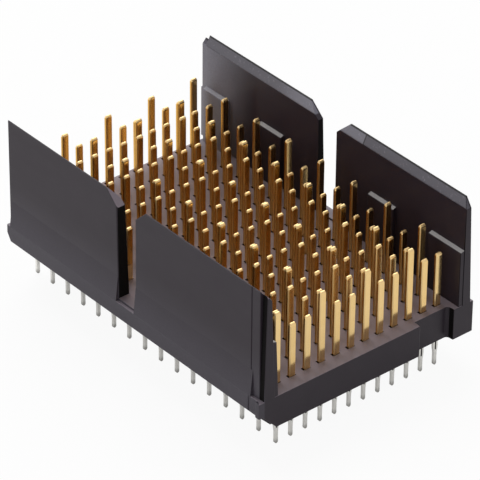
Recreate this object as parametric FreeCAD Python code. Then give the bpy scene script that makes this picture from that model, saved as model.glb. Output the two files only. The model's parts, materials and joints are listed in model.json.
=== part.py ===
import FreeCAD, Part
import os

# Vertical press-fit backplane pin header: a black moulded housing with two tall side walls,
# 192 gold blades standing on its floor between them, and their tin tails below its underside.
# Millimetres. Z = 0 is the underside, which seats on the board, and +Z is the mating side.
# X runs along the walls and Y across them; X = Y = 0 is the middle of the pin field.

# Pin field: columns follow one another along X, rows along Y, and both count from 1.
COLUMNS = 16
ROWS = 12
COLUMN_PITCH = 1.9
ROW_PITCH = 1.42
ROWS_PER_GROUND = 3

# Blade, which stands with its broad side towards X
BLADE_WIDTH = 0.60
BLADE_THICKNESS = 0.30
SIGNAL_TIP_Z = 7.40
GROUND_TIP_Z = 8.93
TIP_SHOULDER = 0.18
TIP_WIDTH = 0.44
TIP_THICKNESS = 0.14

# Tail below the board seat: a neck, a spring eye and a rounded end
TAIL_LENGTH = 2.67
NECK_DEPTH = 0.15
NECK_WIDTH = 0.32
EYE_WIDTH = 0.46
EYE_DEPTH = 0.88
EYE_END_DEPTH = 1.62
EYE_SLOT_WIDTH = 0.14
EYE_SLOT_LENGTH = 0.85
END_WIDTH = 0.31
TAIL_THICKNESS = 0.22

# Hole that holds each pin, with a lead-in on one side at the floor and a wider mouth at the seat
PIN_CLEARANCE = 0.02
FLOOR_NOTCH = 0.14
FLOOR_NOTCH_DEPTH = 0.50
MOUTH_WIDTH = 0.86
MOUTH_THICKNESS = 0.56
MOUTH_DEPTH = 0.45

# Base slab: margins run from the outermost pin centres to its faces
FLOOR_Z = 2.75
START_MARGIN = 0.35
END_MARGIN = 1.35
NEAR_MARGIN = 2.59
FAR_MARGIN = 2.51
NEAR_CHAMFER_RUN = 1.35
NEAR_CHAMFER_RISE = 1.40
START_CORNER_CUT = 0.40
START_CORNER_RISE = 0.65
NOTCH_DEPTH = 0.65
NOTCH_WIDTH = 3.36
CORNER_BLOCK_WIDTH = 1.96

# Side walls: set in from the base, thinner towards the top, bevelled on the inside
WALL_TOP_Z = 12.10
BEVEL_HEIGHT = 0.76
CREST_WIDTH = 0.09
WALL_START_INSET = 0.15
NEAR_SET_IN = 0.25
NEAR_FOOT_THICKNESS = 1.07
NEAR_TOP_THICKNESS = 0.70
FAR_SET_IN = 0.30
FAR_LEAN = 0.36
FAR_FOOT_THICKNESS = 0.82
FAR_TOP_THICKNESS = 0.46

# Slot that parts each wall in two, and the cut corners of the wall tops
NEAR_SLOT_LEFT = 1.17
NEAR_SLOT_RIGHT = 0.88
FAR_SLOT_LEFT = 1.02
FAR_SLOT_RIGHT = 1.06
SLOT_SILL = 0.15
SLOT_CHAMFER_RUN = 1.22
SLOT_CHAMFER_DROP = 1.15
NEAR_CORNER_RUN = 0.32
NEAR_CORNER_DROP = 0.45
FAR_CORNER_RUN = 0.50
FAR_CORNER_DROP = 0.82

# Joints to the next module: a rabbet and a foot pad at one end, a tongue at the other
RABBET_LENGTH = 0.50
RABBET_TOP_DEPTH = 0.30
RABBET_FOOT_DEPTH = 0.06
PAD_LENGTH = 0.45
PAD_RISE = 0.18
END_RELIEF_LENGTH = 0.50
END_RELIEF_DEPTH = 0.17
PARTING_GROOVE_X = 1.35
PARTING_GROOVE_WIDTH = 0.10
PARTING_GROOVE_DEPTH = 0.05
TONGUE_LENGTH = 0.40
TONGUE_SET_BACK = 0.08
TONGUE_DROP = 0.42
TONGUE_FOOT_LENGTH = 0.15
TONGUE_FOOT_Z = 7.25

# Guide ribs on the inner face of each wall: one by each end and one on each side of the slot
START_RIB_GAP = 0.20
START_RIB_LENGTH = 2.80
LEFT_RIB_GAP = 4.00
LEFT_RIB_LENGTH = 2.70
RIGHT_RIB_GAP = 4.06
RIGHT_RIB_LENGTH = 2.86
END_RIB_GAP = 0.05
END_RIB_LENGTH = 3.60
RIB_TOP_Z = 7.66
RIB_DEPTH = 0.35
RIB_LEAD_IN = 0.13

FIRST_COLUMN_X = -(COLUMNS - 1) * COLUMN_PITCH / 2
LAST_COLUMN_X = -FIRST_COLUMN_X
FIRST_ROW_Y = -(ROWS - 1) * ROW_PITCH / 2
LAST_ROW_Y = -FIRST_ROW_Y
START_X = FIRST_COLUMN_X - START_MARGIN
END_X = LAST_COLUMN_X + END_MARGIN
NEAR_Y = FIRST_ROW_Y - NEAR_MARGIN
FAR_Y = LAST_ROW_Y + FAR_MARGIN
NEAR_WALL_Y = NEAR_Y + NEAR_SET_IN
FAR_WALL_Y = FAR_Y - FAR_SET_IN
BEVEL_Z = WALL_TOP_Z - BEVEL_HEIGHT
CUT_MARGIN = 1.0


def column_x(column):
    return FIRST_COLUMN_X + (column - 1) * COLUMN_PITCH


def row_y(row):
    return FIRST_ROW_Y + (row - 1) * ROW_PITCH


def is_ground(column, row):
    """Every third blade of a column is a tall one, and neighbouring columns are staggered."""
    first = ROWS_PER_GROUND if column % 2 else 1
    return row % ROWS_PER_GROUND == first % ROWS_PER_GROUND


def box(x, y, z):
    """Block between the two values given for each axis."""
    size = (x[1] - x[0], y[1] - y[0], z[1] - z[0])
    return Part.makeBox(*size, FreeCAD.Vector(x[0], y[0], z[0]))


def prism_along_x(outline, x):
    """Solid with a polygon of (Y, Z) points as its section, from x[0] to x[1]."""
    points = [FreeCAD.Vector(x[0], y, z) for y, z in outline]
    face = Part.Face(Part.makePolygon(points + points[:1]))
    return face.extrude(FreeCAD.Vector(x[1] - x[0], 0, 0))


def prism_along_y(outline, y):
    """Solid with a polygon of (X, Z) points as its section, from y[0] to y[1]."""
    points = [FreeCAD.Vector(x, y[0], z) for x, z in outline]
    face = Part.Face(Part.makePolygon(points + points[:1]))
    return face.extrude(FreeCAD.Vector(0, y[1] - y[0], 0))


def base_slab():
    """Slab under the pin field, with its near lower edge and one corner cut away."""
    outline = [
        (NEAR_Y + NEAR_CHAMFER_RUN, 0),
        (FAR_Y, 0),
        (FAR_Y, FLOOR_Z),
        (NEAR_Y, FLOOR_Z),
        (NEAR_Y, NEAR_CHAMFER_RISE),
    ]
    slab = prism_along_x(outline, (START_X, END_X))
    corner = [
        (START_X, NEAR_CHAMFER_RISE + START_CORNER_RISE),
        (START_X + START_CORNER_CUT, NEAR_CHAMFER_RISE),
        (START_X + START_CORNER_CUT, -CUT_MARGIN),
        (START_X - CUT_MARGIN, -CUT_MARGIN),
        (START_X - CUT_MARGIN, NEAR_CHAMFER_RISE + START_CORNER_RISE),
    ]
    slab = slab.cut(prism_along_y(corner, (NEAR_Y - CUT_MARGIN, NEAR_Y + NEAR_CHAMFER_RUN)))
    notch_far_y = FAR_Y - CORNER_BLOCK_WIDTH
    notch = box(
        (END_X - NOTCH_DEPTH, END_X + CUT_MARGIN),
        (notch_far_y - NOTCH_WIDTH, notch_far_y),
        (-CUT_MARGIN, FLOOR_Z + CUT_MARGIN),
    )
    return slab.cut(notch)


def near_wall():
    """Wall with an upright outer face, from the floor to the bevelled top."""
    outline = [
        (NEAR_WALL_Y, FLOOR_Z),
        (NEAR_WALL_Y, WALL_TOP_Z),
        (NEAR_WALL_Y + CREST_WIDTH, WALL_TOP_Z),
        (NEAR_WALL_Y + NEAR_TOP_THICKNESS, BEVEL_Z),
        (NEAR_WALL_Y + NEAR_FOOT_THICKNESS, FLOOR_Z),
    ]
    return prism_along_x(outline, (START_X + WALL_START_INSET, END_X))


def far_wall():
    """Wall that leans inwards a little, from the floor to the bevelled top."""
    top_y = FAR_WALL_Y - FAR_LEAN
    outline = [
        (FAR_WALL_Y, FLOOR_Z),
        (top_y, WALL_TOP_Z),
        (top_y - CREST_WIDTH, WALL_TOP_Z),
        (top_y - FAR_TOP_THICKNESS, BEVEL_Z),
        (FAR_WALL_Y - FAR_FOOT_THICKNESS, FLOOR_Z),
    ]
    return prism_along_x(outline, (START_X + WALL_START_INSET, END_X))


def far_tongue():
    """Thin upright strip that continues the far wall past the start of the base."""
    inner_y = FAR_WALL_Y - FAR_FOOT_THICKNESS + TONGUE_SET_BACK
    top_y = FAR_WALL_Y - FAR_LEAN
    outline = [
        (FAR_WALL_Y, FLOOR_Z),
        (top_y, WALL_TOP_Z - TONGUE_DROP),
        (top_y - FAR_TOP_THICKNESS + TONGUE_SET_BACK, BEVEL_Z - TONGUE_SET_BACK),
        (inner_y, FLOOR_Z),
    ]
    end_x = START_X + WALL_START_INSET
    strip = prism_along_x(outline, (START_X - TONGUE_LENGTH, end_x))
    foot = prism_along_x(outline, (START_X - TONGUE_LENGTH - TONGUE_FOOT_LENGTH, end_x))
    below = box(
        (START_X - 2 * TONGUE_LENGTH - CUT_MARGIN, end_x),
        (inner_y - CUT_MARGIN, FAR_Y),
        (FLOOR_Z, TONGUE_FOOT_Z),
    )
    return strip.fuse(foot.common(below))


def slot_cutter(left, right, y):
    """Upright slot through one wall, wider at the top where the wall corners are cut.

    left and right are the slot's reach on each side of the middle of the pin field.
    """
    sill_z = FLOOR_Z + SLOT_SILL
    drop_z = WALL_TOP_Z - SLOT_CHAMFER_DROP
    slope = SLOT_CHAMFER_RUN / SLOT_CHAMFER_DROP
    over = CUT_MARGIN * slope
    outline = [
        (-left, sill_z),
        (right, sill_z),
        (right, drop_z),
        (right + SLOT_CHAMFER_RUN + over, WALL_TOP_Z + CUT_MARGIN),
        (-left - SLOT_CHAMFER_RUN - over, WALL_TOP_Z + CUT_MARGIN),
        (-left, drop_z),
    ]
    return prism_along_y(outline, y)


def corner_cutter(run, drop, y):
    """Wedge that cuts the top corner of a wall at the end of the housing."""
    outline = [
        (END_X, WALL_TOP_Z - drop),
        (END_X - run, WALL_TOP_Z),
        (END_X - run, WALL_TOP_Z + CUT_MARGIN),
        (END_X + CUT_MARGIN, WALL_TOP_Z + CUT_MARGIN),
        (END_X + CUT_MARGIN, WALL_TOP_Z - drop),
    ]
    return prism_along_y(outline, y)


def rabbet_cutter():
    """Step in the outer face of the near wall, which gets shallower towards the floor."""
    outline = [
        (NEAR_WALL_Y - CUT_MARGIN, FLOOR_Z),
        (NEAR_WALL_Y + RABBET_FOOT_DEPTH, FLOOR_Z),
        (NEAR_WALL_Y + RABBET_TOP_DEPTH, WALL_TOP_Z),
        (NEAR_WALL_Y + RABBET_TOP_DEPTH, WALL_TOP_Z + CUT_MARGIN),
        (NEAR_WALL_Y - CUT_MARGIN, WALL_TOP_Z + CUT_MARGIN),
    ]
    return prism_along_x(outline, (END_X - RABBET_LENGTH, END_X + CUT_MARGIN))


def foot_pad():
    """Small upright pad on the base, between the rabbet and the chamfer."""
    return box(
        (END_X - PAD_LENGTH, END_X),
        (NEAR_Y - PAD_RISE, NEAR_Y + CREST_WIDTH),
        (NEAR_CHAMFER_RISE, FLOOR_Z),
    )


def end_relief_cutter():
    """Strip cut from the end of the chamfer under the pad."""
    outline = [
        (NEAR_Y - CUT_MARGIN, NEAR_CHAMFER_RISE),
        (NEAR_Y + END_RELIEF_DEPTH, NEAR_CHAMFER_RISE),
        (NEAR_Y + NEAR_CHAMFER_RUN + END_RELIEF_DEPTH, 0),
        (NEAR_Y + NEAR_CHAMFER_RUN + END_RELIEF_DEPTH, -CUT_MARGIN),
        (NEAR_Y - CUT_MARGIN, -CUT_MARGIN),
    ]
    return prism_along_x(outline, (END_X - END_RELIEF_LENGTH, END_X + CUT_MARGIN))


def parting_grooves():
    """Hairline groove up the outer face of the near wall and down the base below it."""
    x = (END_X - PARTING_GROOVE_X - PARTING_GROOVE_WIDTH, END_X - PARTING_GROOVE_X)
    wall = box(
        x,
        (NEAR_WALL_Y - CUT_MARGIN, NEAR_WALL_Y + PARTING_GROOVE_DEPTH),
        (FLOOR_Z, WALL_TOP_Z + CUT_MARGIN),
    )
    base = box(
        x,
        (NEAR_Y - CUT_MARGIN, NEAR_Y + PARTING_GROOVE_DEPTH),
        (NEAR_CHAMFER_RISE, FLOOR_Z + CUT_MARGIN),
    )
    return [wall, base]


def wall_rib(span, foot_y, top_y, wall_y):
    """Guide rib on a wall's inner face, sloped back to the wall over its top.

    foot_y and top_y are the wall's inner face at the floor and at the bevel, and
    wall_y is a plane inside the wall, which makes the rib and the wall one solid.
    """
    side = 1 if foot_y > 0 else -1
    share = (RIB_TOP_Z - FLOOR_Z) / (BEVEL_Z - FLOOR_Z)
    face_y = foot_y + (top_y - foot_y) * share
    outline = [
        (foot_y - side * RIB_DEPTH, FLOOR_Z),
        (face_y - side * RIB_DEPTH, RIB_TOP_Z - RIB_LEAD_IN),
        (face_y, RIB_TOP_Z),
        (wall_y, RIB_TOP_Z),
        (wall_y, FLOOR_Z),
    ]
    return prism_along_x(outline, span)


def rib_spans():
    """Start and end along X of each rib, set out from the wall ends and the slot."""
    start_x = START_X + START_RIB_GAP
    left_x = -FAR_SLOT_LEFT - LEFT_RIB_GAP
    right_x = FAR_SLOT_RIGHT + RIGHT_RIB_GAP
    end_x = END_X - END_RIB_GAP
    return (
        (start_x, start_x + START_RIB_LENGTH),
        (left_x - LEFT_RIB_LENGTH, left_x),
        (right_x, right_x + RIGHT_RIB_LENGTH),
        (end_x - END_RIB_LENGTH, end_x),
    )


def wall_ribs():
    """The ribs of both walls, in the same places along X."""
    ribs = []
    for span in rib_spans():
        near_foot_y = NEAR_WALL_Y + NEAR_FOOT_THICKNESS
        near_top_y = NEAR_WALL_Y + NEAR_TOP_THICKNESS
        ribs.append(wall_rib(span, near_foot_y, near_top_y, near_foot_y - RIB_DEPTH))
        far_foot_y = FAR_WALL_Y - FAR_FOOT_THICKNESS
        far_top_y = FAR_WALL_Y - FAR_LEAN - FAR_TOP_THICKNESS
        ribs.append(wall_rib(span, far_foot_y, far_top_y, far_foot_y + RIB_DEPTH))
    return ribs


def pin_hole(column, row):
    """Cutter for the hole of one pin, from the floor notch down to the mouth at the seat."""
    x = column_x(column)
    y = row_y(row)
    half_width = BLADE_WIDTH / 2 + PIN_CLEARANCE
    half_thickness = BLADE_THICKNESS / 2 + PIN_CLEARANCE
    shaft = box(
        (x - half_thickness, x + half_thickness),
        (y - half_width, y + half_width),
        (-CUT_MARGIN, FLOOR_Z + CUT_MARGIN),
    )
    notch = box(
        (x - half_thickness, x + half_thickness),
        (y - half_width - FLOOR_NOTCH, y),
        (FLOOR_Z - FLOOR_NOTCH_DEPTH, FLOOR_Z + CUT_MARGIN),
    )
    mouth = box(
        (x - MOUTH_THICKNESS / 2, x + MOUTH_THICKNESS / 2),
        (y - MOUTH_WIDTH / 2, y + MOUTH_WIDTH / 2),
        (-CUT_MARGIN, MOUTH_DEPTH),
    )
    return shaft.fuse([notch, mouth])


def housing():
    """One moulded piece: slab, walls and ribs, less the slots, steps and pin holes."""
    near_y = (NEAR_WALL_Y - CUT_MARGIN, NEAR_WALL_Y + NEAR_FOOT_THICKNESS + CUT_MARGIN)
    far_y = (FAR_WALL_Y - FAR_FOOT_THICKNESS - CUT_MARGIN, FAR_WALL_Y + CUT_MARGIN)
    body = base_slab().fuse([near_wall(), far_wall(), far_tongue(), foot_pad()] + wall_ribs())
    body = body.removeSplitter()
    cutters = [
        slot_cutter(NEAR_SLOT_LEFT, NEAR_SLOT_RIGHT, near_y),
        slot_cutter(FAR_SLOT_LEFT, FAR_SLOT_RIGHT, far_y),
        corner_cutter(NEAR_CORNER_RUN, NEAR_CORNER_DROP, near_y),
        corner_cutter(FAR_CORNER_RUN, FAR_CORNER_DROP, far_y),
        rabbet_cutter(),
        end_relief_cutter(),
    ]
    body = body.cut(cutters + parting_grooves())
    holes = [
        pin_hole(column, row)
        for column in range(1, COLUMNS + 1)
        for row in range(1, ROWS + 1)
    ]
    return body.cut(Part.makeCompound(holes))


def tail_eye():
    """Cutter for the eye of the tail: an upright slot with round ends, through X."""
    radius = EYE_SLOT_WIDTH / 2
    half_length = EYE_SLOT_LENGTH / 2 - radius
    upper = FreeCAD.Vector(-BLADE_THICKNESS, 0, half_length - EYE_DEPTH)
    lower = FreeCAD.Vector(-BLADE_THICKNESS, 0, -half_length - EYE_DEPTH)
    side = FreeCAD.Vector(0, radius, 0)
    rise = FreeCAD.Vector(0, 0, radius)
    edges = [
        Part.LineSegment(upper + side, lower + side),
        Part.Arc(lower + side, lower - rise, lower - side),
        Part.LineSegment(lower - side, upper - side),
        Part.Arc(upper - side, upper + rise, upper + side),
    ]
    wire = Part.Wire([edge.toShape() for edge in edges])
    return Part.Face(wire).extrude(FreeCAD.Vector(2 * BLADE_THICKNESS, 0, 0))


def pin_side(tip_z):
    """Pin as seen along X, as a plate thicker than the blade: tip, blade, eye and round end."""

    def at(y, z):
        return FreeCAD.Vector(-BLADE_THICKNESS, y, z)

    shoulder_z = tip_z - TIP_SHOULDER
    neck_z = -NECK_DEPTH
    eye_end_z = -EYE_END_DEPTH
    end_z = -TAIL_LENGTH + END_WIDTH / 2
    points = {
        "tip": (TIP_WIDTH / 2, tip_z),
        "shoulder": (BLADE_WIDTH / 2, shoulder_z),
        "foot": (BLADE_WIDTH / 2, MOUTH_DEPTH),
        "neck": (NECK_WIDTH / 2, neck_z),
        "eye": (EYE_WIDTH / 2, -EYE_DEPTH),
        "eye_end": (END_WIDTH / 2, eye_end_z),
        "end": (END_WIDTH / 2, end_z),
    }
    right = {name: at(y, z) for name, (y, z) in points.items()}
    left = {name: at(-y, z) for name, (y, z) in points.items()}
    edges = [
        Part.LineSegment(left["tip"], right["tip"]),
        Part.LineSegment(right["tip"], right["shoulder"]),
        Part.LineSegment(right["shoulder"], right["foot"]),
        Part.LineSegment(right["foot"], right["neck"]),
        Part.Arc(right["neck"], right["eye"], right["eye_end"]),
        Part.LineSegment(right["eye_end"], right["end"]),
        Part.Arc(right["end"], at(0, -TAIL_LENGTH), left["end"]),
        Part.LineSegment(left["end"], left["eye_end"]),
        Part.Arc(left["eye_end"], left["eye"], left["neck"]),
        Part.LineSegment(left["neck"], left["foot"]),
        Part.LineSegment(left["foot"], left["shoulder"]),
        Part.LineSegment(left["shoulder"], left["tip"]),
    ]
    wire = Part.Wire([edge.toShape() for edge in edges])
    return Part.Face(wire).extrude(FreeCAD.Vector(2 * BLADE_THICKNESS, 0, 0))


def pin_edge(tip_z):
    """Pin as seen along Y: bevelled tip, blade, and a slightly thinner tail."""
    half_blade = BLADE_THICKNESS / 2
    half_tail = TAIL_THICKNESS / 2
    half_tip = TIP_THICKNESS / 2
    outline = [
        (half_tip, tip_z),
        (half_blade, tip_z - TIP_SHOULDER),
        (half_blade, MOUTH_DEPTH),
        (half_tail, -NECK_DEPTH),
        (half_tail, -TAIL_LENGTH),
        (-half_tail, -TAIL_LENGTH),
        (-half_tail, -NECK_DEPTH),
        (-half_blade, MOUTH_DEPTH),
        (-half_blade, tip_z - TIP_SHOULDER),
        (-half_tip, tip_z),
    ]
    return prism_along_y(outline, (-BLADE_WIDTH, BLADE_WIDTH))


def pin(tip_z):
    """One contact pin at X = Y = 0, with its tip at the given height above the seat."""
    return pin_side(tip_z).common(pin_edge(tip_z)).cut(tail_eye())


def column_of_pins(master, column, ground):
    """Copies of the master pin at each place of one column that takes its kind."""
    copies = []
    for row in range(1, ROWS + 1):
        if is_ground(column, row) == ground:
            copy = master.copy()
            copy.translate(FreeCAD.Vector(column_x(column), row_y(row), 0))
            copies.append(copy)
    return Part.makeCompound(copies)


def main():
    """Write the housing and, for each column, its signal pins and its ground pins."""
    nodes = {"housing": housing()}
    signal_pin = pin(SIGNAL_TIP_Z)
    ground_pin = pin(GROUND_TIP_Z)
    for column in range(1, COLUMNS + 1):
        nodes[f"signal_pins_{column:02d}"] = column_of_pins(signal_pin, column, False)
        nodes[f"ground_pins_{column:02d}"] = column_of_pins(ground_pin, column, True)
    os.makedirs("parts", exist_ok=True)
    for name, shape in nodes.items():
        shape.exportStep(f"parts/{name}.step")


main()
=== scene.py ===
"""Looks of a vertical press-fit pin header: moulded housing, plated contact pins and the studio."""

import json
import logging
import math
from dataclasses import dataclass
from enum import Enum
from typing import Any, Callable, Dict, List, Optional, Sequence, Tuple, Union

import bmesh
import bpy
from mathutils import Matrix, Vector

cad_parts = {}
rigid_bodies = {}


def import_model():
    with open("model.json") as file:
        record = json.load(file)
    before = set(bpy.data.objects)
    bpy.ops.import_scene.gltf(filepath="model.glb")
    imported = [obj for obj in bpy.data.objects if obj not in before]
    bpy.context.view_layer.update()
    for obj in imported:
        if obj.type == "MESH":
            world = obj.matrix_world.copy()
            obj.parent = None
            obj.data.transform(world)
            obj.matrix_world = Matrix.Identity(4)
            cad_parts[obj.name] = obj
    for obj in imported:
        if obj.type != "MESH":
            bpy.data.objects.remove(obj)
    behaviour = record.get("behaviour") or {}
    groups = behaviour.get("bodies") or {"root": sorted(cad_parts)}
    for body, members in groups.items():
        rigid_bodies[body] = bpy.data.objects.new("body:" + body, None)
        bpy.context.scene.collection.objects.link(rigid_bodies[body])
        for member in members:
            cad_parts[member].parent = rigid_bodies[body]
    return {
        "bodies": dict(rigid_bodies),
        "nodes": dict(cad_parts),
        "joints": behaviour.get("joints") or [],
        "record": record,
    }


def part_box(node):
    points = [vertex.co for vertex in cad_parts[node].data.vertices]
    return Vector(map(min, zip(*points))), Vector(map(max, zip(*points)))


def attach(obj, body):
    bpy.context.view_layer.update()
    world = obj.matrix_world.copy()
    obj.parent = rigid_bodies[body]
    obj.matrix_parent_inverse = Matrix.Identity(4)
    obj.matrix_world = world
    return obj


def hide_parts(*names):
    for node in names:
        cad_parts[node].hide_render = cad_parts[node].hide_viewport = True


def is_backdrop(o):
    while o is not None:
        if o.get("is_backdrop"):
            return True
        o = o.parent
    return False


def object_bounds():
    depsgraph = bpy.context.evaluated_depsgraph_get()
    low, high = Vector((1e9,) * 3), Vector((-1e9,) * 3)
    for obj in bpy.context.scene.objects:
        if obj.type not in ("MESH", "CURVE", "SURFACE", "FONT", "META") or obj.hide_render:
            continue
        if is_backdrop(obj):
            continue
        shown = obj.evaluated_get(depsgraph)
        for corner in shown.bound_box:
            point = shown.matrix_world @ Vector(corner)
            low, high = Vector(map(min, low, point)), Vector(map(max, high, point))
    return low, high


LOG = logging.getLogger("pin_header")
MM = 0.001
Span = Tuple[float, float]
Triple = Tuple[float, float, float]
Operand = Union["Wire", float]
Tint = Union["Wire", Triple]


class PinKind(Enum):
    """The two heights of contact pin, each with the word its CAD nodes start with."""

    SIGNAL = "signal_pins"
    GROUND = "ground_pins"


class RecordSlot(Enum):
    """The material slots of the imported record."""

    HOUSING = "housing"
    CONTACTS = "contacts"


class Skin(Enum):
    """The places of the housing's finishes in its mesh's list of materials: plain moulding, painted
    light on what faces up, painted shade in the recesses and a painted highlight on the ribs' tops.
    """

    MOULDED = 0
    SPARKED = 1
    RECESS = 2
    RUBBED = 3


class PinMark(Enum):
    """The named attributes that the contact pins carry for their finish."""

    TONE = "pin_tone"
    SHEARED = "sheared_side"


class Wire:
    """An output socket that takes part in sums: every operator adds one Math node."""

    def __init__(self, graph: "Graph", socket: bpy.types.NodeSocket) -> None:
        """Keep the socket and the graph that its sums are added to."""
        self.graph = graph
        self.socket = socket

    def output(self, name: str) -> "Wire":
        """Return another output of the same node."""
        return Wire(self.graph, self.socket.node.outputs[name])

    def __add__(self, other: Operand) -> "Wire":
        """Return this plus other."""
        return self.graph.maths("ADD", self, other)

    def __radd__(self, other: Operand) -> "Wire":
        """Return other plus this."""
        return self.graph.maths("ADD", other, self)

    def __sub__(self, other: Operand) -> "Wire":
        """Return this minus other."""
        return self.graph.maths("SUBTRACT", self, other)

    def __rsub__(self, other: Operand) -> "Wire":
        """Return other minus this."""
        return self.graph.maths("SUBTRACT", other, self)

    def __mul__(self, other: Operand) -> "Wire":
        """Return this times other."""
        return self.graph.maths("MULTIPLY", self, other)

    def __rmul__(self, other: Operand) -> "Wire":
        """Return other times this."""
        return self.graph.maths("MULTIPLY", other, self)

    def __truediv__(self, other: Operand) -> "Wire":
        """Return this divided by other."""
        return self.graph.maths("DIVIDE", self, other)

    def __mod__(self, other: Operand) -> "Wire":
        """Return the remainder of this over other, never below zero."""
        return self.graph.maths("FLOORED_MODULO", self, other)


class Graph:
    """A shader or geometry node tree that is written as Python expressions."""

    def __init__(self, tree: bpy.types.NodeTree) -> None:
        """Start on an empty tree."""
        self.tree = tree
        tree.nodes.clear()

    def node(
        self,
        kind: str,
        settings: Optional[Dict[str, Any]] = None,
        inputs: Optional[Dict[Union[str, int], Any]] = None,
        output: Union[str, int] = 0,
    ) -> Wire:
        """Add one node.

        Args:
            kind: The node's type.
            settings: Its properties, set first.
            inputs: The value or the Wire for each socket, by name or place.
            output: The output that the result stands for.

        Returns:
            The chosen output as a Wire.
        """
        node = self.tree.nodes.new(kind)
        for name, value in (settings or {}).items():
            setattr(node, name, value)
        for key, value in (inputs or {}).items():
            if isinstance(value, Wire):
                self.tree.links.new(value.socket, node.inputs[key])
            else:
                node.inputs[key].default_value = value
        if not len(node.outputs):
            return Wire(self, node.inputs[0])
        return Wire(self, node.outputs[output])

    def maths(self, operation: str, *values: Operand) -> Wire:
        """Add a Math node with the given operation and operands."""
        return self.node("ShaderNodeMath", {"operation": operation}, dict(enumerate(values)))

    def mix(self, factor: Operand, low: Tint, high: Tint) -> Wire:
        """Blend two colours."""
        low, high = (tint if isinstance(tint, Wire) else (*tint, 1.0) for tint in (low, high))
        settings = {"data_type": "RGBA", "clamp_factor": True}
        return self.node("ShaderNodeMix", settings, {0: factor, 6: low, 7: high}, 2)

    def ramp(self, value: Wire, low: float, high: float) -> Wire:
        """Map a value smoothly to 0 at low and 1 at high."""
        return self.node(
            "ShaderNodeMapRange",
            {"interpolation_type": "SMOOTHSTEP"},
            {"Value": value, "From Min": low, "From Max": high},
        )

    def place(self, scale: Triple = (1.0, 1.0, 1.0)) -> Wire:
        """Return the object coordinates, stretched by a scale."""
        where = self.node("ShaderNodeTexCoord", output="Object")
        return self.node("ShaderNodeMapping", inputs={"Vector": where, "Scale": scale})

    def noise(self, where: Wire, grain: float, detail: float = 2.0) -> Wire:
        """Return a noise of 0 to 1 whose patches are about grain metres across."""
        return self.node(
            "ShaderNodeTexNoise",
            inputs={"Vector": where, "Scale": 1.0 / grain, "Detail": detail, "Roughness": 0.55},
        )

    @staticmethod
    def swing(noise: Wire, spread: float) -> Wire:
        """Return a noise of 0 to 1 as a swing around zero that is spread wide in all."""
        return (noise - 0.5) * spread

    def attribute(self, mark: PinMark) -> Wire:
        """Return a number that the mesh carries."""
        return self.node("ShaderNodeAttribute", {"attribute_name": mark.value}, output="Fac")

    def bump(self, height: Wire, strength: float, distance: float) -> Wire:
        """Return the normal of a surface with this height."""
        return self.node(
            "ShaderNodeBump",
            inputs={"Height": height, "Strength": strength, "Distance": distance},
        )

    def surface(self, kind: str, inputs: Dict[Union[str, int], Any]) -> None:
        """Add a shader of a kind and send it to the output."""
        shader = self.node(kind, inputs=inputs)
        self.node("ShaderNodeOutputMaterial", inputs={"Surface": shader})


def new_material(name: str) -> Tuple[bpy.types.Material, Graph]:
    """Make an empty node material and the graph that fills it."""
    material = bpy.data.materials.new(name)
    material.use_nodes = True
    return material, Graph(material.node_tree)


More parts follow.
